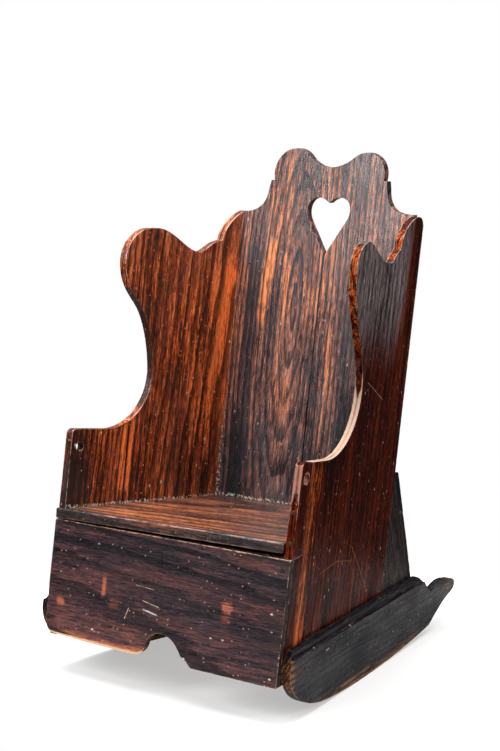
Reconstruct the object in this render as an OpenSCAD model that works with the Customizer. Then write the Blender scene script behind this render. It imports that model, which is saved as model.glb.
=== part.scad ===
// Child's winged rocking commode chair in oak: a raked box base with a front
// panel, two high shaped sides, a lobed two-board back with a heart cut-out,
// a loose seat board, two nailed rockers, and a pot on a pierced board inside.
// +Z is up and the front faces -Y. The origin is on the floor, below the
// middle of the chair.

/* [Stance] */
// Height of the front panel's lower edge above the floor
foot_h = 55; // [50:1:58]
// Depth of the whole chair, from the panel's foot to the rockers' tails
overall_depth = 588; // [580:1:596]

/* [Front panel] */
// Height of the front panel, measured straight up
panel_h = 163; // [155:1:166]
// Thickness of the front panel
panel_t = 10; // [8:0.5:11]
// Lean of the panel and of the arms' front edges, mm back per mm up
front_rake = 0.182; // [0.17:0.002:0.19]
// How far the arms' front edges stand behind the panel's face
arm_setback = 4; // [3:0.5:5]

/* [Sides] */
// Half of the width over the side boards, at the panel's foot
half_w = 202; // [195:1:210]
// Outward lean of each side, mm per mm up
side_splay = 0.038; // [0.03:0.002:0.044]
// Inward taper of each side, mm per mm back
side_taper = 0.14; // [0.13:0.005:0.15]
// Thickness of the side boards, measured straight across the chair
side_t = 12; // [11:0.5:13]
// Height of the left arm's front corner above the panel's lower edge
left_arm_h = 289; // [286:1:291]
// Height of the right arm's front corner above the panel's lower edge
right_arm_h = 285; // [283:1:288]
// Width of the strip let in along the right arm's front edge
strip_w = 30; // [28:1:32]
// Open joint between neighbouring boards
joint_gap = 0.4; // [0.2:0.1:0.8]

/* [Restraining bar] */
// Radius of the bar's hole in each arm
bar_hole_r = 7; // [5:0.5:7.5]
// Distance from the panel's foot back to the bar's holes
bar_hole_y = 68; // [66:0.5:70]
// Height of the bar's holes above the panel's lower edge
bar_hole_z = 263; // [258:1:266]

/* [Back] */
// Distance from the panel's foot to the back's front face, at the same height
back_y = 307; // [306:1:308]
// Lean of the back, mm back per mm up
back_rake = 0.178; // [0.174:0.002:0.18]
// Thickness of the back boards
back_t = 12; // [11:0.5:12]
// Where the two back boards meet, to the right of the middle
back_joint_x = 4; // [2:1:6]
// Radius of the left lobe on the crest
left_crest_r = 36.5; // [35:0.5:37]
// Radius of the right lobe on the crest
right_crest_r = 34; // [33:0.5:36]
// Height of the valley between the two lobes
crest_valley_z = 658; // [656:1:660]

/* [Seat] */
// Height of the seat board's front edge above the panel's lower edge
seat_z = 181.5; // [181:0.5:184]
// Thickness of the seat board
seat_t = 14.8; // [14:0.2:15]
// Fall of the seat board towards the back, in degrees
seat_fall = 5.1; // [4.6:0.1:5.4]
// Rise of the seat board towards the right, in degrees
seat_roll = 0.8; // [0:0.1:0.9]

/* [Pot] */
// Height of the pierced board's top above the panel's lower edge
pot_board_z = 118; // [112:1:120]
// Thickness of the pierced board
pot_board_t = 12; // [10:1:13]
// Radius of the hole that the pot hangs in
pot_hole_r = 90; // [88:1:94]
// Depth of the pot below its rim
pot_depth = 96; // [80:1:100]

/* [Rockers] */
// Thickness of each rocker
rocker_t = 14; // [13:0.5:15]
// Height of the right rocker's moulded top above the panel's lower edge
right_rocker_top = 45; // [43:1:47]
// Height of the left rocker's moulded top above the panel's lower edge
left_rocker_top = 59; // [56:1:60]
// Radius of the rockers' curve in front of the point that rests on the floor
front_rocker_r = 1500; // [1400:50:2000]
// Radius of the rockers' curve behind that point
rear_rocker_r = 2200; // [2000:50:2400]
// Distance from the panel's foot to the point that rests on the floor
contact_y = 250; // [240:1:258]
// Half of the length that is worn flat at that point
flat_half = 9; // [5:1:15]

/* [Nails] */
// Width of a nail's square shank
nail_w = 2.6; // [2:0.2:3]
// Radius of a nail's round head
nail_head_r = 3.4; // [3:0.2:4]

/* [Hidden] */

oak_dark = [0.20, 0.09, 0.06];
oak_red = [0.36, 0.14, 0.07];
oak_grey = [0.25, 0.16, 0.14];
oak_black = [0.10, 0.08, 0.08];
iron = [0.13, 0.12, 0.12];
glaze = [0.80, 0.76, 0.66];

hip_x = half_w - side_t;               // inside of a side, at the panel's foot
front_board_y = 111.5;                 // joint in the left side, at foot height
panel_back = panel_t;                  // rear face of the panel, same height
side_rear = back_y + back_t;           // rear edge of a side at foot height
side_top_z = 590;                      // top of the sides at the back
back_half_w = 170;                     // half of the back's width before it is cut to the sides
slope = tan(seat_fall);
seat_front_y = front_rake * seat_z;
wedge_top_z = 218;                     // tops of the wedges and the rear panel
wedge_rake = -0.382;                   // the rear panel's face, mm back per mm up
wedge_foot_y = 454.4;                  // the same face, at the panel's foot height
rear_t = 12;                           // thickness of the rear panel
low_end = 8;                           // lower ends of the wedges and rear panel
cleat_w = 13;                          // width of every cleat
rim_t = 7;                             // thickness of the pot's rim
pot_y = 178;                           // middle of the pot and of its hole
tail_y = overall_depth;                // tips of the rockers' tails
wide = 260;                            // half-width of a board before it is cut to the sides
play = 0.5;                            // gap left where boards only meet
big = 1000;

// ---- Outlines -------------------------------------------------------------

function arc(c, r, from, to, step = 5) =
    let (n = ceil(abs(to - from) / step))
    [for (i = [0:n]) let (a = from + (to - from) * i / n) c + r * [cos(a), sin(a)]];

function curve(a, b, c, d, n = 10) =
    [for (i = [1:n]) let (t = i / n, s = 1 - t)
        s * s * s * a + 3 * s * s * t * b + 3 * s * t * t * c + t * t * t * d];

function raked(rake, y, z) = [y + rake * z, z];

// Top of a side in (depth, height): arm corner, arm sweep, wing lobe, valley,
// ledge and the quarter curve up to the back. The two sides were sawn by hand,
// so each has its own points.
function left_wing_top() =
    let (
        sweep = [127, 368],
        sweep_r = 86.5,
        waist = [197, 452],
        lobe = [222, 515.5],
        lobe_r = 54,
        valley = [315, 530],
        ledge = [352, 543.5],
        step_in = [367, 546.5]
    )
    concat(
        arc(raked(front_rake, arm_setback + 7.5, left_arm_h - 7), 7, 172, 80, 12),
        arc(sweep, sweep_r, 268, 360),
        curve(sweep + [sweep_r, 0], [214, 405], [207, 434], waist, 8),
        curve(waist, [187, 469], [168, 484], lobe - [lobe_r, 0], 8),
        arc(lobe, lobe_r, 174, 84, 6),
        curve(lobe + lobe_r * [cos(84), sin(84)], [264, 572], [286, 534], valley, 12),
        curve(valley, [331, 530], [340, 541], ledge, 7),
        [step_in, step_in + [2.5, 6.5]],
        curve(step_in + [2.5, 6.5], [376, 566], [397, 584], [418, side_top_z], 9),
        [raked(back_rake, side_rear, side_top_z)]
    );

function right_wing_top() =
    let (
        sweep = [136, 371],
        sweep_r = 94,
        waist = [209, 448],
        lobe = [234.5, 523],
        lobe_r = 37.5,
        valley = [306, 527],
        ledge = [332, 540],
        step_in = [341, 544]
    )
    concat(
        arc(raked(front_rake, arm_setback + 6.5, right_arm_h - 6), 6, 172, 80, 12),
        arc(sweep, sweep_r, 262, 360),
        curve(sweep + [sweep_r, 0], [230, 400], [217, 424], waist, 8),
        curve(waist, [201, 469], [195, 490], lobe - [lobe_r, 0], 8),
        arc(lobe, lobe_r, 174, 84, 6),
        curve(lobe + lobe_r * [cos(84), sin(84)], [256, 559], [272, 530], valley, 12),
        curve(valley, [320, 527], [325, 537], ledge, 7),
        [step_in, step_in + [4, 8.5]],
        curve(step_in + [4, 8.5], [350, 566], [371, 585], [402, 588], 9),
        curve([402, 588], [412, 588.5], [419, 586], raked(back_rake, side_rear, 574), 5)
    );

module side_outline(top) {
    polygon(concat(
        [raked(front_rake, panel_back, 0), raked(front_rake, panel_back, panel_h),
         raked(front_rake, arm_setback, panel_h)],
        top,
        [[side_rear, 0]]
    ));
}

// Everything in front of a raked line that crosses foot height at y
module ahead_of(rake, y) {
    polygon([raked(rake, -big, -50), raked(rake, y, -50),
             raked(rake, y, 800), raked(rake, -big, 800)]);
}

// The left front board's place: in front of a raked joint, up to the arm's top
module front_board_place(grow) {
    intersection() {
        ahead_of(back_rake, front_board_y + grow);
        translate([-100, -100]) square([400, 450]);
    }
}

// The strip's place: above the panel's top, in front of a line along the arm
module strip_place(grow) {
    intersection() {
        ahead_of(front_rake, arm_setback + strip_w + grow);
        translate([-100, panel_h - grow]) square([400, 400]);
    }
}

// Heart with two shallow lobes and a long straight-sided point
module heart() {
    tip = [5, 526];
    side_low = [35, 55];
    notch = [5, 604.5];
    half = concat(
        [tip, tip + side_low],
        curve(tip + side_low, [46, 592], [43, 606], [34, 610.5], 8),
        curve([34, 610.5], [24, 616], [11, 611], notch, 8)
    );
    polygon(half);
    translate([tip[0] * 2, 0]) mirror([1, 0]) polygon(half);
}

// Half of the back's crest in (width, height): sweep, step, lobe, and an arc
// that touches the lobe and levels out in the middle. step is where the sweep
// ends; the two halves differ a little.
function crest_half(step, lobe, lobe_r) =
    let (
        dip = crest_valley_z - lobe[1],
        valley_r = (lobe[0] * lobe[0] + dip * dip - lobe_r * lobe_r) / (2 * (lobe_r - dip)),
        valley = [0, crest_valley_z + valley_r],
        meet = atan2(valley[1] - lobe[1], -lobe[0]),
        shoulder_z = 638.5
    )
    concat(
        [[back_half_w, side_top_z], [step + 42, side_top_z]],
        curve([step + 42, side_top_z], [step + 22, side_top_z + 1], [step + 4, 598], [step + 2, 628], 10),
        [[step, shoulder_z - 0.5]],
        arc(lobe, lobe_r, asin((shoulder_z - lobe[1]) / lobe_r), meet, 6),
        arc(valley, valley_r, meet - 180, -90, 8)
    );

module back_outline() {
    left_half = crest_half(106, [65, 650], left_crest_r);
    right_half = crest_half(102, [63, 646], right_crest_r);
    difference() {
        polygon(concat(
            [[back_half_w, 0]], right_half,
            [for (i = [len(left_half) - 1:-1:0]) [-left_half[i][0], left_half[i][1]]],
            [[-back_half_w, 0]]
        ));
        heart();
    }
}

// Panel outline in (width, height): the lower edge rises a little to a
// rounded left corner, and has a worn notch off its middle
module panel_outline() {
    polygon(concat(
        [[240, 0], [62, 1], [54, 8], [44, 13]],
        curve([44, 13], [36, 24], [26, 36], [9, 36.5], 8),
        curve([9, 36.5], [-5, 37], [-14, 31], [-17, 21], 7),
        curve([-17, 21], [-18, 13], [-22, 4], [-34, 1.5], 6),
        [[-120, 3]],
        curve([-180, 4.5], [-193, 5], [-199, 8], [-202, 20], 7),
        [[-240, 20], [-240, panel_h], [240, panel_h]]
    ));
}

// Height of the rockers' curved underside at a depth
function floor_curve(y) =
    let (
        d = max(abs(y - contact_y), flat_half),
        r = y < contact_y ? front_rocker_r : rear_rocker_r
    )
    [y, -foot_h + (d * d - flat_half * flat_half) / (2 * r)];

nose_y = 150;                          // where a rocker's curve leaves its front end

// Front ends of the rockers in (depth, height), from the top down to the curve.
// The left one is higher and slants away, so the panel hides it from in front.
right_nose = concat(
    [[30, right_rocker_top], [20, 33], [14.5, 20]],
    curve([14.5, 20], [12, -4], [34, -24], [75, -39], 10),
    curve([75, -39], [97, -46], [120, -50], floor_curve(nose_y), 6)
);
left_nose = concat(
    [[46, left_rocker_top], [24, 56], [18, 53]],
    curve([18, 53], [11, 46], [10, 32], [13, 19], 7),
    curve([13, 19], [16, 6], [26, -1], [42, -8], 6),
    curve([42, -8], [76, -23], [104, -42], floor_curve(nose_y), 8)
);

// Rocker outline in (depth, height)
module rocker_outline(nose, top) {
    end = 487;
    steps = 22;
    front_run = [for (i = [1:steps]) nose_y + (contact_y - flat_half - nose_y) * i / steps];
    rear_run = [for (i = [0:steps]) contact_y + flat_half + (end - contact_y - flat_half) * i / steps];
    tip = [tail_y, 1];
    polygon(concat(
        nose,
        [for (y = concat(front_run, rear_run)) floor_curve(y)],
        curve(floor_curve(end), [512, -30], [540, -16], tip - [17, 11], 7),
        curve(tip - [17, 11], tip - [7, 9], tip - [0, 6], tip, 6),
        curve(tip, tip + [0, 7], tip + [-9, 11], tip + [-22, 12], 6),
        curve(tip + [-22, 12], tip + [-38, 17], tip + [-62, 18], tip + [-79, 13], 7),
        [[487, 11]],
        curve([487, 11], [470, 19], [463, top - 6], [442, top], 7)
    ));
}

// ---- Placing outlines in the chair ---------------------------------------

// Foot frame: y = 0 at the panel's foot, z = 0 at the panel's lower edge
module in_chair() {
    translate([0, -overall_depth / 2, foot_h]) children();
}

module left() {
    mirror([1, 0, 0]) children();
}

// An outline in (depth, height), thickened along x from a distance outside the
// right-hand side's outer face, and following that side's splay and taper
module on_side(from, thick) {
    multmatrix([[-side_taper, side_splay, 1, half_w + from], [1, 0, 0, 0], [0, 1, 0, 0], [0, 0, 0, 1]])
        linear_extrude(thick) children();
}

// An outline in (width, height), thickened backwards from a raked face
module on_rake(y, rake, thick) {
    multmatrix([[1, 0, 0, 0], [0, rake, -1, y + thick], [0, 1, 0, 0], [0, 0, 0, 1]])
        linear_extrude(thick) children();
}

// Everything further out than a distance from the right-hand side's outer face
module beyond_right(from) {
    on_side(from, big) translate([-big / 5, -big / 5]) square(1.2 * big);
}

// The same on both sides
module beyond(from) {
    for (s = [0, 1]) mirror([s, 0, 0]) beyond_right(from);
}

// The seat board's own frame: origin at its front top edge
module in_seat() {
    translate([0, seat_front_y, seat_z]) rotate([-seat_fall, 0, 0]) rotate([0, -seat_roll, 0]) children();
}

// Underside of the seat board near one side; s is 1 on the right, -1 on the left
function seat_under(y, s) =
    seat_z - seat_t / cos(seat_fall) - slope * (y - seat_front_y) + s * tan(seat_roll) * (hip_x - side_taper * y);

// ---- Panel and sides ------------------------------------------------------

module front_panel() {
    color(oak_dark) in_chair() difference() {
        on_rake(0, front_rake, panel_t) panel_outline();
        beyond(0);
    }
}

module left_side_front_board() {
    color(oak_red) in_chair() left() difference() {
        on_side(-side_t, side_t) intersection() {
            side_outline(left_wing_top());
            front_board_place(0);
        }
        bar_hole();
    }
}

module left_side_rear_board() {
    color(oak_red) in_chair() left() on_side(-side_t, side_t) difference() {
        side_outline(left_wing_top());
        front_board_place(joint_gap);
    }
}

module right_side_board() {
    color(oak_red) in_chair() on_side(-side_t, side_t) difference() {
        side_outline(right_wing_top());
        strip_place(joint_gap);
    }
}

module right_arm_strip() {
    color(oak_red) in_chair() difference() {
        on_side(-side_t, side_t) intersection() {
            side_outline(right_wing_top());
            strip_place(0);
        }
        bar_hole();
    }
}

module bar_hole() {
    translate([half_w - 60, bar_hole_y, bar_hole_z]) rotate([0, 90, 0]) cylinder(h = 120, r = bar_hole_r, $fn = 64);
}

// ---- Back -----------------------------------------------------------------

module back_boards() {
    difference() {
        on_rake(back_y, back_rake, back_t) back_outline();
        beyond(-side_t - play / 2);
    }
}

module back_left_board() {
    color(oak_grey) in_chair() difference() {
        back_boards();
        translate([back_joint_x - joint_gap, 0, -big]) cube(2 * big);
    }
}

module back_right_board() {
    color(oak_grey) in_chair() difference() {
        back_boards();
        translate([back_joint_x - 2 * big, 0, -big]) cube(2 * big);
    }
}

// ---- Rear of the base -----------------------------------------------------

module wedge() {
    on_side(-side_t, side_t) polygon([
        raked(back_rake, side_rear, low_end),
        raked(back_rake, side_rear, wedge_top_z),
        raked(wedge_rake, wedge_foot_y - rear_t, wedge_top_z),
        raked(wedge_rake, wedge_foot_y - rear_t, low_end)
    ]);
}

module left_wedge() {
    color(oak_black) in_chair() left() wedge();
}

module right_wedge() {
    color(oak_black) in_chair() wedge();
}

module rear_panel() {
    color(oak_black) in_chair() difference() {
        on_rake(wedge_foot_y - rear_t, wedge_rake, rear_t)
            translate([-wide, low_end]) square([2 * wide, wedge_top_z - low_end]);
        beyond(0);
    }
}

// ---- Rockers --------------------------------------------------------------

// Quarter-round and hollow taken off the outer top corner, in (out, up)
module rocker_moulding() {
    polygon(concat(
        [[rocker_t + 2, 2], [4.5, 2]],
        arc([4.5, -4], 4, 90, 0, 15),
        [[8.5, -6.5]],
        arc([rocker_t, -6.5], rocker_t - 8.5, 180, 270, 15),
        [[rocker_t + 2, -12]]
    ));
}

module rocker(nose, top) {
    difference() {
        on_side(0, rocker_t) rocker_outline(nose, top);
        multmatrix([[1, side_splay, -side_taper, half_w + side_splay * top], [0, 0, 1, 0], [0, 1, 0, top], [0, 0, 0, 1]])
            linear_extrude(500) rocker_moulding();
    }
}

module left_rocker() {
    color(oak_black) in_chair() left() rocker(left_nose, left_rocker_top);
}

module right_rocker() {
    color(oak_black) in_chair() rocker(right_nose, right_rocker_top);
}

// ---- Seat board and cleats ------------------------------------------------

module seat_board() {
    nosing = 2;
    rear = 299;
    ear_back = arm_setback - play;
    color(oak_red) in_chair() difference() {
        in_seat() translate([-wide, -nosing, -seat_t]) cube([2 * wide, rear + nosing, seat_t]);
        // the right end stops inside the side; the left ear laps over the arm's edge
        difference() {
            beyond(-side_t - 1);
            translate([-big, -big, 0]) cube([big, big + seat_front_y + 60, 400]);
        }
        difference() {
            beyond(-side_t - 1);
            translate([0, -big, 0]) cube([big, 2 * big, 400]);
            on_rake(-big, front_rake, big + ear_back) translate([-big, 0]) square([big, 400]);
        }
        left() beyond_right(play);
    }
}

// Batten under the seat board; s is 1 on the right, -1 on the left
module seat_cleat(s) {
    first = 52;
    last = 296;
    drop = 0.6;
    depth = 15;
    on_side(-side_t - cleat_w, cleat_w) polygon([
        [first, seat_under(first, s) - drop], [last, seat_under(last, s) - drop],
        [last, seat_under(last, s) - drop - depth], [first, seat_under(first, s) - drop - depth]
    ]);
}

module left_seat_cleat() {
    color(oak_dark) in_chair() left() seat_cleat(-1);
}

module right_seat_cleat() {
    color(oak_dark) in_chair() seat_cleat(1);
}

// ---- Pot, its board and cleats --------------------------------------------

module pot_board() {
    color(oak_dark) in_chair() difference() {
        translate([-wide, panel_back + front_rake * pot_board_z + play, pot_board_z - pot_board_t])
            cube([2 * wide, back_y + back_rake * (pot_board_z - pot_board_t) - 1
                - panel_back - front_rake * pot_board_z, pot_board_t]);
        beyond(-side_t - play);
        translate([0, pot_y, 0]) cylinder(h = 300, r = pot_hole_r, $fn = 96);
    }
}

module pot_cleat() {
    depth = 18;
    under = pot_board_z - pot_board_t;
    on_side(-side_t - cleat_w, cleat_w) translate([52, under - depth]) square([244, depth]);
}

module left_pot_cleat() {
    color(oak_dark) in_chair() left() pot_cleat();
}

module right_pot_cleat() {
    color(oak_dark) in_chair() pot_cleat();
}

// Glazed pan: flat rim, tapering wall, rounded bottom and a foot ring
module pot() {
    rim_r = 101;
    wall = 6;
    mouth_r = 84;
    base_r = 60;
    foot_r = 46;
    top = rim_t;
    low = rim_t - pot_depth;
    color(glaze) in_chair() translate([0, pot_y, pot_board_z + 0.3]) rotate_extrude($fn = 96)
        polygon(concat(
            [[0, low + 4], [foot_r - 7, low + 4], [foot_r - 6, low], [foot_r, low], [foot_r + 1, low + 4]],
            curve([foot_r + 1, low + 4], [base_r, low + 4], [base_r + 9, low + 12], [base_r + 11, low + 24], 8),
            curve([base_r + 11, low + 24], [base_r + 15, low + 44], [mouth_r + 2, -30], [mouth_r + 3, -4], 8),
            curve([mouth_r + 3, -4], [mouth_r + 3, 0], [mouth_r + 4, 0], [mouth_r + 6, 0], 4),
            [[rim_r - 2, 0]],
            arc([rim_r - 2, 3.5], 3.5, -60, 60, 30),
            [[rim_r - 2, top]],
            curve([rim_r - 2, top], [mouth_r + 2, top], [mouth_r - 2, top - 1], [mouth_r - 2, -4], 8),
            curve([mouth_r - 2, -4], [mouth_r - 3, -30], [base_r + 10, low + 44], [base_r + 6, low + 26], 8),
            curve([base_r + 6, low + 26], [base_r + 3, low + 14], [base_r - 8, low + 4 + wall], [0, low + 4 + wall], 8)
        ));
}

// ---- Nails ----------------------------------------------------------------

// Square-shanked nail with a low round head, driven along -Z from the origin
module nail(length) {
    translate([-nail_w / 2, -nail_w / 2, -length]) cube([nail_w, nail_w, length]);
    cylinder(h = 0.7, r1 = nail_head_r, r2 = nail_head_r * 0.6, $fn = 24);
}

// A nail square to the right-hand side, driven inwards from a distance outside it
module side_nail(y, z, length, from) {
    translate([half_w + side_splay * z - side_taper * y + from, y, z])
        rotate([0, 90 + atan(side_splay), atan(side_taper)]) nail(length);
}

module front_panel_nails() {
    color(iron) in_chair() for (s = [0, 1], h = [[13, 0], [84, 1.5], [150, 0.5]])
        mirror([s, 0, 0]) translate([half_w - 7.5 - h[1], front_rake * h[0], h[0]])
            rotate([90 - atan(front_rake), 0, 0]) nail(26);
}

module back_nails() {
    edge = back_y + back_t / 2;
    color(iron) in_chair() for (s = [0, 1], z = [96, 222, 366, 508])
        mirror([s, 0, 0]) side_nail(edge + back_rake * z, z, 36, 0);
}

module rear_panel_nails() {
    color(iron) in_chair() for (s = [0, 1], z = [32, 96, 160]) {
        y = wedge_foot_y + wedge_rake * z;
        mirror([s, 0, 0]) translate([half_w + side_splay * z - side_taper * y - side_t / 2, y, z])
            rotate([-90 - atan(wedge_rake), 0, 0]) nail(26);
    }
}

module rocker_nails() {
    color(iron) in_chair() for (s = [0, 1], p = [[58, 14], [150, 16], [262, 12], [332, 20], [396, 22]])
        mirror([s, 0, 0]) side_nail(p[0], p[1], 24, rocker_t);
}

module cleat_nails() {
    color(iron) in_chair() for (s = [-1, 1], y = [84, 178, 272]) {
        upper = seat_under(y, s) - 8;
        lower = pot_board_z - pot_board_t - 9;
        mirror([(1 - s) / 2, 0, 0]) for (z = [upper, lower])
            translate([half_w + side_splay * z - side_taper * y - side_t - cleat_w, y, z])
                rotate([0, -90 + atan(side_splay), atan(side_taper)]) nail(22);
    }
}

module arm_strip_nails() {
    x = half_w - side_t / 2;
    color(iron) in_chair() for (z = [182, 222, 244])
        translate([x + side_splay * z - side_taper * (front_rake * z), arm_setback + front_rake * z, z])
            rotate([90 - atan(front_rake), 0, atan(side_taper)]) nail(50);
}

front_panel();
left_side_front_board();
left_side_rear_board();
right_side_board();
right_arm_strip();
back_left_board();
back_right_board();
left_wedge();
right_wedge();
rear_panel();
left_rocker();
right_rocker();
seat_board();
left_seat_cleat();
right_seat_cleat();
pot_board();
left_pot_cleat();
right_pot_cleat();
pot();
front_panel_nails();
back_nails();
rear_panel_nails();
rocker_nails();
cleat_nails();
arm_strip_nails();
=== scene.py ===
import math

import bmesh
import bpy
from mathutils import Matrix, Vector, kdtree, noise


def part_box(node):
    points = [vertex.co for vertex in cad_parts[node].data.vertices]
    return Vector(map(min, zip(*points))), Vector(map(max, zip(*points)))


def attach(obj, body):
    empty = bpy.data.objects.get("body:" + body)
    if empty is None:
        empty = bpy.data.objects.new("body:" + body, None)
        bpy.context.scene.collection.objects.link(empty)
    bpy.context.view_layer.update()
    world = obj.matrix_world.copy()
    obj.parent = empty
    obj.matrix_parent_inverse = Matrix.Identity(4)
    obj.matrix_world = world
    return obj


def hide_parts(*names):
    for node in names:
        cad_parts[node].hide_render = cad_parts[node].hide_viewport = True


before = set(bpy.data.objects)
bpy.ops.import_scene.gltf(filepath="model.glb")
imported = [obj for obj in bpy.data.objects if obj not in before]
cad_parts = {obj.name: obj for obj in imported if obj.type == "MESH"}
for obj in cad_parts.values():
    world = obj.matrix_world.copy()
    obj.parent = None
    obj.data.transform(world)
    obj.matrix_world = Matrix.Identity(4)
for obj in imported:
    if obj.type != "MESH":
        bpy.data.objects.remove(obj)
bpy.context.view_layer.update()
MM = 0.001
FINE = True

# ---- Places in the chair -----------------------------------------------------
# Sizes in millimetres from the front panel's foot, as the part's own drawing has them.

FOOT_Y, FOOT_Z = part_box("front_panel")[0].yz
HALF_W = 202  # half the width outside, at the panel's foot
SPLAY = 0.038  # how far the sides lean outwards as they rise
TAPER = 0.14  # how far they close in towards the back
FRONT_RAKE = 0.182  # how far each of these leans back as it rises, or forwards for the wedges
BACK_RAKE = 0.178
WEDGE_RAKE = 0.38
SIDE_T = 12  # a side board's thickness
BACK_Y = 307  # the back's face, level with the panel's foot
JOINT_X = 4  # where the two back boards meet
SIDE_JOINT_Y = 111  # where the two boards of the left side meet
SEAT_Y, SEAT_Z = 33, 179  # top of the seat's front edge
SEAT_FALL = 0.089  # how far it drops towards the back
SEAT_BACK_Z = 155
BAR_Y, BAR_Z = 20, 263  # the restraining bar's hole


def place(x, y, z):
    return Vector((x * MM, y * MM + FOOT_Y, z * MM + FOOT_Z))


def to_foot(co):
    return co.x / MM, (co.y - FOOT_Y) / MM, (co.z - FOOT_Z) / MM


def on_side(side, y, z):
    """A point on a side board's outer face: side is 1 on the right and -1 on the left."""
    return place(side * (HALF_W + SPLAY * z - TAPER * y), y, z)


def on_panel(x, z):
    return place(x, FRONT_RAKE * z, z)


def on_back(x, z):
    return place(x, BACK_Y + BACK_RAKE * z, z)


# ---- Node-building shorthand -------------------------------------------------


class Graph:
    """Builds one material's nodes; sockets are passed around as values."""

    def __init__(self, name):
        self.material = bpy.data.materials.new(name)
        self.material.use_nodes = True
        self.tree = self.material.node_tree
        self.shader = self.tree.nodes["Principled BSDF"]

    def put(self, socket, value):
        if isinstance(value, bpy.types.NodeSocket):
            self.tree.links.new(value, socket)
        else:
            socket.default_value = value

    def node(self, kind, inputs=None, **props):
        made = self.tree.nodes.new("ShaderNode" + kind)
        for key, value in props.items():
            setattr(made, key, value)
        for key, value in (inputs or {}).items():
            self.put(made.inputs[key], value)
        return made

    def attribute(self, name, output="Fac"):
        return self.node("Attribute", attribute_name=name).outputs[output]

    def math(self, operation, a, b=0.0, c=0.0):
        return self.node("Math", {0: a, 1: b, 2: c}, operation=operation).outputs[0]

    def add(self, a, b):
        return self.math("ADD", a, b)

    def minus(self, a, b):
        return self.math("SUBTRACT", a, b)

    def times(self, a, b):
        return self.math("MULTIPLY", a, b)

    def times_add(self, a, b, c):
        return self.math("MULTIPLY_ADD", a, b, c)

    def scaled(self, vector, scale):
        return self.node("VectorMath", {0: vector, 1: scale}, operation="MULTIPLY").outputs[0]

    def noise(self, vector, scale=1.0, detail=3.0, roughness=0.5, distortion=0.0):
        inputs = {"Vector": vector, "Scale": scale, "Detail": detail, "Roughness": roughness,
                  "Distortion": distortion}
        return self.node("TexNoise", inputs).outputs["Fac"]

    def ramp(self, value, low, high, out_low=0.0, out_high=1.0):
        inputs = {"Value": value, "From Min": low, "From Max": high, "To Min": out_low, "To Max": out_high}
        return self.node("MapRange", inputs, interpolation_type="SMOOTHSTEP", clamp=True).outputs["Result"]

    def mix(self, factor, a, b, blend="MIX"):
        made = self.node("Mix", data_type="RGBA", blend_type=blend)
        self.put(made.inputs[0], factor)
        for socket, value in ((made.inputs[6], a), (made.inputs[7], b)):
            self.put(socket, (*value, 1) if isinstance(value, tuple) and len(value) == 3 else value)
        return made.outputs[2]

    def split(self, vector):
        return self.node("SeparateXYZ", {0: vector}).outputs

    def join(self, x, y, z):
        return self.node("CombineXYZ", {0: x, 1: y, 2: z}).outputs[0]

    def bump(self, height, strength, distance, normal=None):
        inputs = {"Height": height, "Strength": strength, "Distance": distance}
        if normal is not None:
            inputs["Normal"] = normal
        return self.node("Bump", inputs).outputs[0]

    def near_line(self, u, v, a, b, width):
        """1 on the straight line from a to b in the plane of u and v, fading to 0 at its width."""
        du, dv = b[0] - a[0], b[1] - a[1]
        length = math.hypot(du, dv)
        du, dv = du / length, dv / length
        pu, pv = self.minus(u, a[0]), self.minus(v, a[1])
        along = self.add(self.times(pu, du), self.times(pv, dv))
        off = self.math("ABSOLUTE", self.minus(self.times(pu, dv), self.times(pv, du)))
        past = self.math("ABSOLUTE", self.minus(along, length / 2))
        inside = self.ramp(past, length / 2, length / 2 - 2 * width)
        return self.times(inside, self.ramp(off, width, width * 0.3))


# ---- Camera, light and floor -------------------------------------------------

CAMERA_AT = (1.3514, -1.9158, 0.7342)
CAMERA_PITCH = 0.137
CAMERA_YAW = 0.633
LENS_MM = 77.34
DIM_SKY = 0.10
FLOOR_R = 0.52
FLOOR_GREY = (0.42, 0.42, 0.42, 1)
FLOOR_GLOW = 0.45
EVEN_GLOW_R = 0.25
WHITE = (1, 1, 1, 1)


def add_camera():
    data = bpy.data.cameras.new("camera")
    data.sensor_width = 36
    data.lens = LENS_MM
    data.clip_end = 50
    camera = bpy.data.objects.new("camera", data)
    camera.location = CAMERA_AT
    camera.rotation_euler = (math.pi / 2 - CAMERA_PITCH, 0, CAMERA_YAW)
    bpy.context.collection.objects.link(camera)
    bpy.context.scene.camera = camera


def add_softbox(name, at, aim, size, power, colour=(1, 1, 1)):
    data = bpy.data.lights.new(name, "AREA")
    data.shape = "RECTANGLE"
    data.size, data.size_y = size
    data.energy = power
    data.color = colour
    light = bpy.data.objects.new(name, data)
    light.location = at
    light.rotation_euler = (Vector(aim) - Vector(at)).to_track_quat("-Z", "Y").to_euler()
    bpy.context.collection.objects.link(light)


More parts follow.
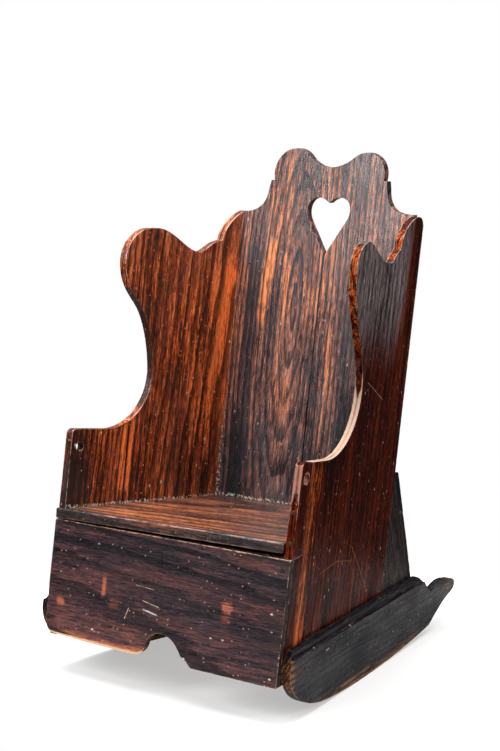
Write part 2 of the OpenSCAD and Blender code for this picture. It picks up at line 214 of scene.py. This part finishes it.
def add_studio():
    """White surroundings to look at, dim ones to be lit by, and three softboxes."""
    world = bpy.data.worlds.new("studio")
    world.use_nodes = True
    tree = world.node_tree
    sky, output = tree.nodes["Background"], tree.nodes["World Output"]
    sky.inputs["Color"].default_value = WHITE
    sky.inputs["Strength"].default_value = DIM_SKY
    white = tree.nodes.new("ShaderNodeBackground")
    white.inputs["Strength"].default_value = 1.0
    white.inputs["Color"].default_value = WHITE
    seen = tree.nodes.new("ShaderNodeLightPath")
    choose = tree.nodes.new("ShaderNodeMixShader")
    tree.links.new(seen.outputs["Is Camera Ray"], choose.inputs[0])
    tree.links.new(sky.outputs[0], choose.inputs[1])
    tree.links.new(white.outputs[0], choose.inputs[2])
    tree.links.new(choose.outputs[0], output.inputs[0])
    bpy.context.scene.world = world
    middle = (0, 0, 0.4)
    add_softbox("front_key", (-0.9, -2.3, 1.9), middle, (1.3, 1.3), 75)
    add_softbox("right_fill", (2.4, -0.6, 1.9), middle, (0.9, 0.9), 30, (1.0, 0.93, 0.86))
    add_softbox("ceiling", (0, 0, 2.6), (0, 0, 0), (2.6, 2.6), 160)
    bpy.context.scene.view_settings.view_transform = "Standard"


def add_floor():
    """A pale table that glows a little, and more towards its rim."""
    bm = bmesh.new()
    bmesh.ops.create_circle(bm, cap_ends=True, segments=96, radius=FLOOR_R)
    mesh = bpy.data.meshes.new("floor")
    bm.to_mesh(mesh)
    bm.free()
    floor = bpy.data.objects.new("floor", mesh)
    bpy.context.collection.objects.link(floor)
    g = Graph("pale_paper")
    for name, value in (("Base Color", FLOOR_GREY), ("Emission Color", WHITE), ("Roughness", 0.9),
                        ("Specular IOR Level", 0.0)):
        g.shader.inputs[name].default_value = value
    at = g.node("TexCoord").outputs["Object"]
    radius = g.node("VectorMath", {0: at}, operation="LENGTH").outputs["Value"]
    g.put(g.shader.inputs["Emission Strength"], g.ramp(radius, EVEN_GLOW_R, 0.95 * FLOOR_R, FLOOR_GLOW, 1.0))
    mesh.materials.append(g.material)


add_camera()
add_studio()
add_floor()

# ---- Wood --------------------------------------------------------------------

SOOT = (0.010, 0.009, 0.010)
DUST = (0.55, 0.47, 0.40)


def shade(colour, factor):
    return tuple(factor * c for c in colour)


def year_rings(g, grain, ring_mm, pith, lean, sway):
    """Growth rings round a pith behind the board, which drifts along it: how far
    through its year a point is, and how much late wood shows there."""
    u, v, w = g.split(grain)
    drift = g.noise(g.scaled(grain, (6, 1.7, 6)), detail=2)
    ripple = g.noise(g.scaled(grain, (70, 9, 70)), detail=3)
    across = g.add(g.minus(u, pith[0]), g.times(g.minus(drift, 0.5), sway))
    deep = g.add(g.times_add(v, lean, pith[1]), w)
    radius = g.math("SQRT", g.add(g.times(across, across), g.times(deep, deep)))
    rings = g.times_add(radius, 1000 / ring_mm, g.times(ripple, 0.7))
    phase = g.math("FRACT", rings)
    year = g.noise(g.join(g.math("FLOOR", rings), 0.0, 0.0), scale=3.1, detail=0)
    late = g.times(g.ramp(phase, 0.45, 0.85), g.ramp(phase, 0.92, 1.0, 1.0, 0.0))
    return phase, g.times(late, g.ramp(year, 0.30, 0.55, 0.5, 1.0))


def weather_edges(g, colour, grain, arris, wear):
    """Edges rubbed pale where hands reach (in the right arm's hollow and along the arm strip's front, partly
    a painted highlight) and sooty in the joints, broken up along their length, and crumbs of wax in the
    corners."""
    arris_m, rub_and_highlight, dust = (g.attribute(a) for a in ("arris", "rub_and_highlight", "dust"))
    broken = g.noise(g.scaled(grain, (150, 60, 150)), detail=4, roughness=0.65)
    reach = g.times_add(g.ramp(rub_and_highlight, 0.7, 1.5), 0.008, g.ramp(broken, 0.35, 0.75, 0.0006, 0.0022))
    at_edge = g.ramp(g.math("DIVIDE", arris_m, reach), 1.0, 0.4)
    worn = g.times(at_edge, g.ramp(g.times_add(broken, 0.8, rub_and_highlight), 0.35, 1.0, 0, wear))
    colour = g.mix(worn, colour, arris)
    sooty = g.times(g.ramp(arris_m, 0.0032, 0.0012), g.ramp(rub_and_highlight, -0.3, -0.9))
    colour = g.mix(sooty, colour, shade(SOOT, 0.4))
    crumbs = g.noise(g.scaled(grain, (520, 300, 520)), detail=3)
    crumbs = g.ramp(g.times_add(dust, 0.18, crumbs), 0.60, 0.68)
    return g.mix(g.times(crumbs, g.ramp(dust, 0.05, 0.4)), colour, DUST)


def dots(g, grain, stretch, scale, channel, rarity, rim):
    """Small round dots in a few of the cells that the board is divided into."""
    cells = g.node("TexVoronoi", {"Vector": g.scaled(grain, (1, stretch, 1)), "Scale": scale})
    chosen = g.ramp(g.split(cells.outputs["Color"])[channel], rarity, rarity + 0.06)
    return g.times(g.ramp(cells.outputs["Distance"], *rim), chosen)


def wood(name, dark, mid, light, glow=(0.45, 0.10, 0.02), cool_and_sheen=(0.10, 0.085, 0.095), arris=(0.50, 0.25, 0.16),
         ring_mm=6.0, pith=(0.0, 0.06), lean=0.05, sway=0.05, bands=0.5, lines=0.85, figure=0.04, mottle=2.0,
         gloss=0.3, wear=0.8, fleck=0.5, coat=0.25, shine=0.35, marks=()):
    """Waxed old oak. Reads the point attributes that board() writes: grain
    (across, along, through, in metres), arris (metres to the nearest edge),
    tone (-1 grimy to 1 rubbed bright; on the right wing's top and in the back's
    blue-grey bands it also carries a painted sheen), warm (-1 blue-grey to 1
    orange; below 0 the palette's cooler colour is mixed in, which on the right
    wing and the back is a painted blue-grey sheen), rub (-1 sooty to 1 worn
    pale, at the edges; in the right arm's hollow and along the arm strip's
    front it is partly a painted highlight), dust (0 to 1) and endgrain (0 to
    1). pith places the rings' centre line, in metres across and through, lean
    tilts it and sway bends it. bands is the share of broad streaks against
    fibres, lines how dark the late wood is, and figure how far the rings tint
    the rest. marks are scratches: (from, to, width, colour)."""
    g = Graph(name)
    grain = g.attribute("grain", "Vector")
    tone, warm, endgrain = (g.attribute(a) for a in ("tone", "warm", "endgrain"))
    phase, late = year_rings(g, grain, ring_mm, pith, lean, sway)

    # broad streaks, fibres and pores, all drawn out along the grain
    broad = g.noise(g.scaled(grain, (34, 2.4, 20)), detail=4, roughness=0.6, distortion=0.5)
    fine = g.noise(g.scaled(grain, (260, 13, 160)), detail=5, roughness=0.7)
    grit = g.noise(g.scaled(grain, (620, 70, 420)), detail=3, roughness=0.7)
    pores = g.noise(g.scaled(grain, (1100, 55, 800)), detail=2, roughness=0.5)
    blotch = g.minus(g.noise(g.scaled(grain, (26, 7, 26)), detail=3), 0.5)
    blend = g.add(g.times(broad, bands), g.times(fine, 1 - bands))
    blend = g.add(blend, g.times(g.minus(grit, 0.5), 0.5))
    blend = g.add(blend, g.times(g.add(tone, blotch), 0.11))
    blend = g.add(blend, g.times(g.minus(0.5, phase), figure))

    # from the dark through the body colour to the bright streaks
    warm = g.times_add(blotch, mottle, warm)
    # Where warm is below 0 the palette's cooler colour is mixed in: on the right wing and the back this is a
    # painted blue-grey sheen, a painted reflection; elsewhere it is a cooler tint.
    grey = g.times(warm, -1.0)
    body = g.mix(g.ramp(grey, 0.0, 1.0), mid, shade(cool_and_sheen, 0.5))
    bright = g.mix(g.ramp(warm, 0.0, 1.0), g.mix(g.ramp(grey, 0.0, 1.0), light, cool_and_sheen), glow)
    colour = g.mix(g.ramp(blend, 0.40, 0.49), dark, body)
    colour = g.mix(g.ramp(blend, 0.50, 0.61), colour, bright)
    colour = g.mix(g.times(late, lines), colour, shade(dark, 0.3))
    colour = g.mix(g.ramp(pores, 0.54, 0.62, 0, 0.8), colour, shade(dark, 0.25))
    # Soot where tone is low; in the back's blue-grey bands this darkening belongs to their painted sheen.
    grime_and_sheen = g.add(tone, g.ramp(warm, 0.0, 1.0))
    colour = g.mix(g.ramp(grime_and_sheen, -0.15, -1.0, 0, 0.85), colour, SOOT)

    # end grain drinks the wax and goes dark
    speckle = g.noise(g.scaled(grain, (700, 500, 700)), detail=2)
    drunk = g.times(endgrain, g.ramp(speckle, 0.4, 0.6, 0.35, 0.75))
    colour = g.mix(drunk, colour, shade(dark, 0.6))
    colour = weather_edges(g, colour, grain, arris, wear)

    # pale flecks, smaller warm specks and scratches
    flecks = dots(g, grain, 0.6, 85.0, 0, 0.80, (0.16, 0.06))
    colour = g.mix(g.times(flecks, fleck), colour, DUST)
    specks = dots(g, grain, 0.7, 170.0, 1, 0.70, (0.22, 0.08))
    colour = g.mix(g.times(specks, 0.7 * fleck), colour, tuple(0.5 * (a + b) for a, b in zip(glow, DUST)))
    u, v, _ = g.split(grain)
    for start, end, width, tint in marks:
        line = g.near_line(u, v, start, end, width)
        colour = g.mix(g.times(line, g.ramp(grit, 0.35, 0.6, 0.2, 0.95)), colour, tint)
    g.put(g.shader.inputs["Base Color"], colour)

    patch = g.noise(g.scaled(grain, (20, 12, 20)), detail=4)
    rough = g.add(g.ramp(patch, 0.3, 0.7, gloss - 0.06, gloss + 0.16), g.ramp(grit, 0.4, 0.7, -0.04, 0.10))
    g.put(g.shader.inputs["Roughness"], g.add(rough, g.times(endgrain, 0.2)))
    g.shader.inputs["Coat Weight"].default_value = coat
    g.shader.inputs["Coat Roughness"].default_value = 0.2
    g.shader.inputs["Specular IOR Level"].default_value = shine

    relief = g.minus(g.times(fine, 0.9), g.times(late, 0.5))
    relief = g.minus(g.add(relief, g.times(grit, 0.6)), g.ramp(pores, 0.52, 0.66, 0, 0.7))
    dents = g.noise(g.scaled(grain, (75, 45, 75)), detail=3)
    normal = g.bump(relief, 0.5, 0.0006)
    g.put(g.shader.inputs["Normal"], g.bump(g.ramp(dents, 0.60, 0.75, 1, 0), 0.35, 0.0008, normal))
    return g.material


def iron():
    """Hand-forged nails, dark with patches of rust."""
    g = Graph("forged_iron")
    at = g.node("TexCoord").outputs["Object"]
    rust = g.noise(at, scale=420, detail=4)
    colour = g.mix(g.ramp(rust, 0.4, 0.7), (0.018, 0.016, 0.016), (0.075, 0.030, 0.014))
    g.put(g.shader.inputs["Base Color"], colour)
    g.put(g.shader.inputs["Roughness"], g.ramp(rust, 0.3, 0.7, 0.42, 0.75))
    g.shader.inputs["Metallic"].default_value = 0.7
    g.put(g.shader.inputs["Normal"], g.bump(g.noise(at, scale=700, detail=3), 0.5, 0.0004))
    return g.material


def earthenware():
    """A cream glaze, clouded and crazed, with dark spots."""
    g = Graph("tin_glaze")
    at = g.node("TexCoord").outputs["Object"]
    cloud = g.noise(at, scale=22, detail=4)
    colour = g.mix(g.ramp(cloud, 0.3, 0.7), (0.70, 0.63, 0.48), (0.80, 0.75, 0.63))
    cells = g.node("TexVoronoi", {"Vector": at, "Scale": 260.0})
    spots = g.times(g.ramp(cells.outputs["Distance"], 0.16, 0.06), g.ramp(g.noise(at, scale=60), 0.55, 0.6))
    colour = g.mix(spots, colour, (0.16, 0.08, 0.04))
    crackle = g.node("TexVoronoi", {"Vector": at, "Scale": 110.0}, feature="DISTANCE_TO_EDGE")
    colour = g.mix(g.ramp(crackle.outputs["Distance"], 0.02, 0.0, 0, 0.35), colour, (0.35, 0.26, 0.17))
    g.put(g.shader.inputs["Base Color"], colour)
    g.put(g.shader.inputs["Roughness"], g.ramp(cloud, 0.3, 0.7, 0.10, 0.20))
    g.shader.inputs["Coat Weight"].default_value = 0.6
    g.shader.inputs["Coat Roughness"].default_value = 0.05
    g.put(g.shader.inputs["Normal"], g.bump(g.noise(at, scale=35, detail=2), 0.25, 0.002))
    return g.material


IRON = iron()
GLAZE = earthenware()

# Palettes: the dark, body and light colours of each kind of board
LEFT_SIDE = dict(
    dark=(0.042, 0.012, 0.006), mid=(0.25, 0.043, 0.012), light=(0.56, 0.15, 0.055), glow=(0.95, 0.18, 0.035),
    cool_and_sheen=(0.20, 0.11, 0.08), ring_mm=9, pith=(0.02, 0.10), lean=0.02, gloss=0.27, bands=0.35, fleck=0.9)
RIGHT_SIDE = dict(
    dark=(0.010, 0.003, 0.002), mid=(0.062, 0.008, 0.003), light=(0.14, 0.020, 0.006),
    glow=(0.55, 0.11, 0.02), cool_and_sheen=(0.24, 0.19, 0.20), arris=(0.47, 0.32, 0.24), ring_mm=9, pith=(0.02, 0.10),
    lean=0.02, gloss=0.24, bands=0.45, lines=0.5, mottle=0.6, coat=0.0, shine=0.02)
STRIP = {**RIGHT_SIDE, "arris": (0.42, 0.20, 0.15)}
BACK = dict(
    dark=(0.022, 0.017, 0.024), mid=(0.15, 0.060, 0.045), light=(0.44, 0.17, 0.10), glow=(0.70, 0.21, 0.06),
    cool_and_sheen=(0.14, 0.12, 0.15), ring_mm=9, pith=(-0.042, 0.085), lean=-0.16, sway=0.025, gloss=0.30,
    bands=0.5, lines=0.8, figure=0.07)
BACK_STRAIGHT = {**BACK, "pith": (-0.15, 0.03), "lean": -0.05}
SEAT = dict(
    dark=(0.030, 0.014, 0.013), mid=(0.16, 0.050, 0.026), light=(0.34, 0.12, 0.055), glow=(0.60, 0.19, 0.06),
    cool_and_sheen=(0.10, 0.075, 0.085), arris=(0.45, 0.24, 0.20), ring_mm=12, pith=(0.05, 0.07), lean=0.04, gloss=0.28,
    bands=0.55)
PANEL = dict(
    dark=(0.009, 0.006, 0.010), mid=(0.042, 0.018, 0.022), light=(0.11, 0.038, 0.034),
    glow=(0.36, 0.10, 0.05), arris=(0.62, 0.40, 0.22), ring_mm=9, pith=(0.0, 0.09), lean=0.03, gloss=0.36,
    bands=0.45, fleck=0.9, coat=0.0, shine=0.2)
ROCKER = dict(
    dark=(0.004, 0.004, 0.006), mid=(0.015, 0.012, 0.014), light=(0.050, 0.034, 0.030),
    glow=(0.24, 0.095, 0.030), cool_and_sheen=(0.022, 0.022, 0.032), arris=(0.26, 0.12, 0.05), ring_mm=5,
    pith=(0.0, 0.06), lean=0.01, gloss=0.36, bands=0.25, mottle=0.6, coat=0.0, shine=0.06)
INNER = dict(
    dark=(0.09, 0.050, 0.028), mid=(0.22, 0.13, 0.075), light=(0.34, 0.22, 0.14), glow=(0.34, 0.22, 0.14),
    arris=(0.42, 0.30, 0.20), ring_mm=6, gloss=0.6, coat=0.0, wear=0.3, fleck=0.2)

# ---- Boards ------------------------------------------------------------------

SHARP = math.radians(28)
PLAIN = {"tone": 0.0, "warm": 0.2, "rub_and_highlight": 0.1, "dust": 0.0}
WAVE_MM = 0.35  # unevenness of the planed faces
CHIP_MM = 0.5
CHIP_REACH = 0.004  # metres from an arris
PROUD_MM = 0.25  # nothing stands out further


def outline_mesh(node):
    """The CAD node's solid with its flat faces whole again, as a bmesh."""
    bm = bmesh.new()
    bm.from_mesh(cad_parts[node].data)
    bmesh.ops.remove_doubles(bm, verts=bm.verts, dist=1e-6)
    bmesh.ops.dissolve_limit(bm, angle_limit=0.0004, verts=bm.verts, edges=bm.edges)
    return bm


def sharp_edges(bm):
    """The arrises: convex edges between faces that turn by more than SHARP."""
    return [e for e in bm.edges if len(e.link_faces) == 2 and e.is_convex and e.calc_face_angle() > SHARP]


def edge_finder(bm, spacing=0.0015):
    """Finds how far a point is from the nearest arris."""
    points = []
    for e in sharp_edges(bm):
        a, b = e.verts[0].co, e.verts[1].co
        steps = max(1, int((b - a).length / spacing))
        points += [a.lerp(b, i / steps) for i in range(steps + 1)]
    tree = kdtree.KDTree(len(points))
    for i, p in enumerate(points):
        tree.insert(p, i)
    tree.balance()
    return tree


def slice_grid(bm, direction, spacing):
    """Cuts every face by planes square to a direction, so that it can bend."""
    reach = [v.co.dot(direction) for v in bm.verts]
    low, high = min(reach), max(reach)
    count = int((high - low) / spacing)
    for i in range(1, count + 1):
        at = direction * (low + (high - low) * i / (count + 1))
        geometry = bm.verts[:] + bm.edges[:] + bm.faces[:]
        bmesh.ops.bisect_plane(bm, geom=geometry, dist=1e-6, plane_co=at, plane_no=direction)


def cut_board(node, along, across, through, round_mm, spacing):
    """A copy of a CAD board with rounded arrises, cut finely enough to bend, and
    the finder of its arrises."""
    bm = outline_mesh(node)
    arrises = edge_finder(bm)
    bmesh.ops.bevel(bm, geom=sharp_edges(bm), offset=round_mm * MM, segments=3, profile=0.55, affect="EDGES",
                    clamp_overlap=True)
    step = spacing if FINE else spacing * 3
    slice_grid(bm, along, step)
    slice_grid(bm, across, step)
    slice_grid(bm, through, spacing)
    mesh = bpy.data.meshes.new(node)
    bm.normal_update()
    bm.to_mesh(mesh)
    bm.free()
    return mesh, arrises


def hand_planed(co, at, gap, seed):
    """How far, in millimetres, the surface stands out at co: slow waves along the
    grain, a fine unevenness, and chips near an arris that is gap metres away."""
    wave = noise.noise(Vector((at.x * 22, at.y * 7, at.z * 22)) + seed)
    rough = noise.noise(co * 95 + seed)
    nick = max(0.0, noise.noise(co * 210 + seed * 2) - 0.25)
    near = max(0.0, 1 - gap / CHIP_REACH)
    push = wave * WAVE_MM + rough * 0.12 - near * CHIP_MM * (0.35 * (0.5 + rough) + nick * 2.2)
    return min(push, PROUD_MM)


def board(node, along, through, palette, body="chair", look=None, shift=(0, 0, 0), round_mm=1.4,
          spacing=0.0035, marks=()):
    """A hand-planed copy of a CAD board: rounded, worn arrises, a slightly
    wavy face and chipped edges. along is the grain, through the thickness.
    look gives the state of the surface at a point, shift moves the figure, and
    marks are scratches."""
    along, through = Vector(along).normalized(), Vector(through).normalized()
    across = along.cross(through).normalized()
    offset = Vector(shift)

    def grain_at(p):
        return Vector((p.dot(across), p.dot(along), p.dot(through))) + offset

    mesh, arrises = cut_board(node, along, across, through, round_mm, spacing)
    seed = Vector((sum(map(ord, node)) % 17, len(node), 3.3))
    values = {"arris": [], "tone": [], "warm": [], "rub_and_highlight": [], "dust": [], "endgrain": []}
    grain, moved = [], []
    for v in mesh.vertices:
        co, normal = v.co.copy(), v.normal.copy()
        gap, at = arrises.find(co)[2], grain_at(co)
        moved.append(co + normal * hand_planed(co, at, gap, seed) * MM)
        grain.append(at)
        state = {**PLAIN, **(look(*to_foot(co), normal) if look else {})}
        state.update(arris=gap, endgrain=abs(normal.dot(along)) ** 3)
        for key, numbers in values.items():
            numbers.append(state[key])
    for v, co in zip(mesh.vertices, moved):
        v.co = co
    layer = mesh.attributes.new("grain", "FLOAT_VECTOR", "POINT")
    layer.data.foreach_set("vector", [c for p in grain for c in p])
    for name, numbers in values.items():
        mesh.attributes.new(name, "FLOAT", "POINT").data.foreach_set("value", numbers)
    mesh.shade_smooth()
    lines = [(grain_at(a)[:2], grain_at(b)[:2], width * MM, tint) for a, b, width, tint in marks]
    mesh.materials.append(wood(node, marks=lines, **palette))
    piece = bpy.data.objects.new(node + "_oak", mesh)
    bpy.context.collection.objects.link(piece)
    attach(piece, body)
    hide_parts(node)


# ---- The state of each surface -----------------------------------------------
# x, y, z are millimetres from the panel's foot. tone, warm, rub and dust are as in wood().

def fade(value, low, high):
    """0 below low, 1 above high, and smooth between; high may be the lower."""
    t = min(1.0, max(0.0, (value - low) / (high - low)))
    return t * t * (3 - 2 * t)


def bump_at(value, centre, half):
    """1 near the centre, fading to 0 at half to either side of it."""
    return fade(abs(value - centre), half, half * 0.3)


def left_side_look(x, y, z, normal):
    """Glows orange inside, beside the back; darker low down, at the front and outside."""
    corner = BACK_Y + BACK_RAKE * z - y
    arm = y - FRONT_RAKE * z
    raked = y - BACK_RAKE * z
    glow = fade(corner, 85, 10) * fade(z, 230, 330) * fade(z, 585, 500)
    joint = bump_at(raked, SIDE_JOINT_Y, 17) * fade(z, 300, 280) * fade(z, 170, 200)
    crack = fade(abs(raked - SIDE_JOINT_Y - 0.5), 4, 2) * fade(z, 290, 284)
    edge = fade(-normal.y, 0.3, 0.8) + fade(normal.z, 0.5, 0.9)
    dark_sweep = fade(-normal.y, 0.2, 0.6) * fade(z, 500, 470) * fade(z, 300, 330)
    tone = 0.9 * glow + 1.6 * joint - 0.35 * fade(z, 300, 215) * (1 - joint) - 0.45 * fade(arm, 60, 20)
    tone -= 0.5 * fade(-normal.x, 0, 0.5) + 0.9 * dark_sweep
    warm = 0.4 + 0.6 * glow + 0.6 * joint - 0.55 * fade(z, 480, 550)
    warm -= 0.2 * fade(z, 300, 215) + 0.3 * fade(arm, 60, 15)
    seat_top = SEAT_Z - SEAT_FALL * (y - SEAT_Y)
    seam = max(fade(abs(z - seat_top), 4, 1.5), fade(corner, 4, 1) * fade(z, 360, 220))
    return {"tone": tone, "warm": warm, "rub_and_highlight": -1 if crack > 0.5 else 0.6 * edge * (1 - dark_sweep) + 0.1,
            "dust": 0.6 * seam * fade(normal.x, 0.3, 0.8)}


def right_side_look(x, y, z, normal):
    """Nearly black outside, with a vivid streak below the arm, a painted grey-blue
    sheen (a painted reflection) on the wing's top and a painted highlight, warmer
    and lighter, down the wing's front edge. The arm's hollow is rubbed pale, partly
    as wear and partly as a painted highlight."""
    rear = BACK_Y + SIDE_T + BACK_RAKE * z - y
    arm = y - FRONT_RAKE * z
    edge = fade(rear, 30, 8) * fade(z, 250, 350)
    vivid = bump_at(arm, 50, 20) * fade(z, 290, 265)
    # top: the wing's painted grey-blue sheen, a painted reflection, made lighter through tone and blue-grey
    # through warm.
    top = fade(z, 330, 500)
    front_edge = fade(-normal.y, 0.2, 0.6)
    # hollow: the sweep is paled, partly as wear and partly as a painted highlight; wing_edge: a painted
    # highlight down the wing's front edge.
    hollow = bump_at(z, 320, 70) * front_edge + fade(normal.z, 0.5, 0.9) * fade(z, 330, 300)
    wing_edge = front_edge * fade(z, 390, 430)
    tone = 0.2 * edge + 0.8 * vivid + 0.5 * top * (1 - edge) - 0.25 + 0.1 * wing_edge
    warm = 0.1 + 0.8 * vivid + 0.3 * edge - 1.1 * top * fade(rear, 20, 60) * (1 - wing_edge) + 0.6 * wing_edge
    lobe = fade(z, 480, 520) * (front_edge + fade(normal.z, 0.4, 0.8))
    return {"tone": tone, "warm": warm, "rub_and_highlight": 0.1 + 1.2 * hollow + 0.35 * lobe}


def strip_look(x, y, z, normal):
    """Rubbed pale along the front, at the joint behind it and round the bar's hole; along the front's top the
    pale is partly a painted highlight.
    """
    arm = y - FRONT_RAKE * z
    front = fade(-normal.y, 0.5, 0.9)
    rear_line = fade(arm, 32, 35)
    bore = fade(math.hypot(arm - BAR_Y, z - BAR_Z), 8.5, 7.6)
    return {"tone": -0.3 + 0.2 * front + bore, "warm": 0.1,
            "rub_and_highlight": 1.15 * front * fade(z, 195, 260) + 0.6 * rear_line + 0.1 + 2 * bore}


def back_look(x, y, z, normal):
    """Grey-violet, with an orange streak, blue-grey bands that are a painted sheen (a painted reflection), a
    sooty joint and a duller, warmer crest.
    """
    streak = bump_at(x, -97 + 0.12 * (z - 470), 11) * fade(z, 400, 440) * fade(z, 560, 520)
    low = fade(z, 330, 215)
    # blue: bands of painted blue-grey sheen, a painted reflection, darker through tone and greyer through
    # warm.
    blue = bump_at(x, 70, 26) * fade(z, 520, 420) + bump_at(x, -118, 22) * fade(z, 560, 520)
    joint = fade(abs(x - JOINT_X), 3.5, 2.2) * fade(z, 540, 530)
    corner = fade(HALF_W + SPLAY * z - TAPER * y - SIDE_T - abs(x), 4, 1) * fade(z, 360, 220)
    seam = max(fade(abs(z - SEAT_BACK_Z), 4, 1.5), corner)
    crest = fade(z, 580, 640)
    tone = 0.9 * streak - 0.45 * low - 0.55 * blue - 0.38 * crest
    warm = 0.2 + 0.85 * streak + 0.25 * fade(z, 350, 480) - 0.5 * blue - 0.5 * low + 0.4 * crest
    return {"tone": tone, "warm": warm, "rub_and_highlight": -1 if joint > 0.3 else 0.1,
            "dust": 0.6 * seam * fade(-normal.y, 0.5, 0.9) * fade(x, 60, 0)}


def seat_look(x, y, z, normal):
    """Warm and bright in the middle, dark along the nosing, whose edge is rubbed."""
    middle = bump_at(x, -30, 190) * bump_at(y, 130, 170)
    nosing = fade(y, 46, 36)
    rear = fade(y, 325, 335) * fade(x, 60, -10)
    return {"tone": 0.4 * middle - 0.3 - 0.4 * nosing, "warm": 0.1 + 0.7 * middle - 0.7 * nosing,
            "rub_and_highlight": 0.25 + 0.6 * fade(y, 48, 38), "dust": 0.6 * rear}


def panel_look(x, y, z, normal):
    """Four scuffs, and a lower edge that is worn bare at the left."""
    scuff = bump_at(x, 112, 14) * bump_at(z, 80, 22) + bump_at(x, -80, 15) * bump_at(z, 62, 9)
    scuff += bump_at(x, -101, 6) * bump_at(z, 84, 24) + bump_at(x, -178, 12) * bump_at(z, 50, 8)
    foot = fade(z, 16, 4) * fade(x, 60, -20)
    end = fade(x, 183, 190)
    top = fade(z, 158, 163)
    return {"tone": 1.3 * min(1, scuff) + 1.2 * foot - 0.1, "warm": 0.9 * min(1, scuff + foot),
            "rub_and_highlight": 0.1 + 1.1 * foot + 0.1 * end + 0.3 * top}


def rocker_look(x, y, z, normal):
    """Black, worn brown at the nose, the sole and the tail."""
    nose = fade(y, 44, 14) * fade(z, 40, 30)
    sole = fade(z, -34, -50)
    tail = fade(y, 530, 560)
    worn = min(1, nose + sole + 0.6 * tail)
    return {"tone": 0.6 * worn - 0.1, "warm": -0.5 + 1.6 * worn, "rub_and_highlight": 0.1 + 0.4 * worn}


# ---- All the boards ----------------------------------------------------------

PALE, RUST, GREY = (0.55, 0.40, 0.30), (0.40, 0.12, 0.03), (0.5, 0.5, 0.5)
SIDE_SCRATCHES = [
    (on_side(1, 214, 143), on_side(1, 271, 68), 0.7, RUST),
    (on_side(1, 115, 124), on_side(1, 170, 130), 0.6, RUST),
    (on_side(1, 170, 130), on_side(1, 216, 120), 0.6, RUST),
    (on_side(1, 227, 107), on_side(1, 217, 45), 0.6, RUST),
    (on_side(1, 248, 366), on_side(1, 302, 334), 0.4, PALE)]
BACK_CRACK = [(on_back(7, 668), on_back(34, 612), 0.7, SOOT)]
PANEL_SCRATCHES = [
    (on_panel(-53, 62), on_panel(-59, 45), 0.8, PALE),
    (on_panel(-31, 75), on_panel(0, 70), 0.9, PALE),
    (on_panel(-30, 64), on_panel(-1, 59), 1.5, GREY),
    (on_panel(-45, 94), on_panel(-11, 92), 0.5, PALE)]
SIDEWAYS = (1, 0, 0)


def make_side(side, name):
    """Everything that is set square to one side: -1 is the left, 1 the right."""
    up = (side * (SPLAY - TAPER * BACK_RAKE), BACK_RAKE, 1)
    out = (side, TAPER, -SPLAY)
    run = (-side * TAPER, 1, 0)
    if side < 0:
        board("left_side_front_board", up, out, LEFT_SIDE, look=left_side_look, shift=(0.3, 0, 0))
        board("left_side_rear_board", up, out, LEFT_SIDE, look=left_side_look,
              shift=(0.05, 0.2, 0))
    else:
        board("right_side_board", up, out, RIGHT_SIDE, look=right_side_look, shift=(-0.1, 0.6, 0),
              marks=SIDE_SCRATCHES)
        board("right_arm_strip", up, out, STRIP, look=strip_look, shift=(0.4, 0.1, 0))
    board(name + "_rocker", run, out, ROCKER, look=rocker_look, shift=(0.2 * side, 0, 0),
          round_mm=2.6)
    board(name + "_wedge", (0, -WEDGE_RAKE, 1), out, ROCKER, shift=(0.1 * side, 0.3, 0))
    for cleat in ("_seat_cleat", "_pot_cleat"):
        board(name + cleat, run, out, INNER, round_mm=0.8, spacing=0.01)


def make_back():
    up, facing = (0, BACK_RAKE, 1), (0, -1, BACK_RAKE)
    board("back_left_board", up, facing, BACK, look=back_look)
    board("back_right_board", up, facing, BACK_STRAIGHT, look=back_look, shift=(-0.09, 0.1, 0),
          marks=BACK_CRACK)


make_side(-1, "left")
make_side(1, "right")
make_back()
board("front_panel", SIDEWAYS, (0, -1, FRONT_RAKE), PANEL, look=panel_look, round_mm=2.0,
      marks=PANEL_SCRATCHES)
board("seat_board", SIDEWAYS, (0, SEAT_FALL, 0.996), SEAT, body="seat", look=seat_look,
      round_mm=2.8)
board("rear_panel", SIDEWAYS, (0, 1, WEDGE_RAKE), ROCKER, shift=(0, 0.4, 0), spacing=0.006)
board("pot_board", SIDEWAYS, (0, 0, 1), INNER, round_mm=1.0, spacing=0.008)

for node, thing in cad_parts.items():
    if node == "pot" or node.endswith("_nails"):
        thing.data.materials.clear()
        thing.data.materials.append(GLAZE if node == "pot" else IRON)
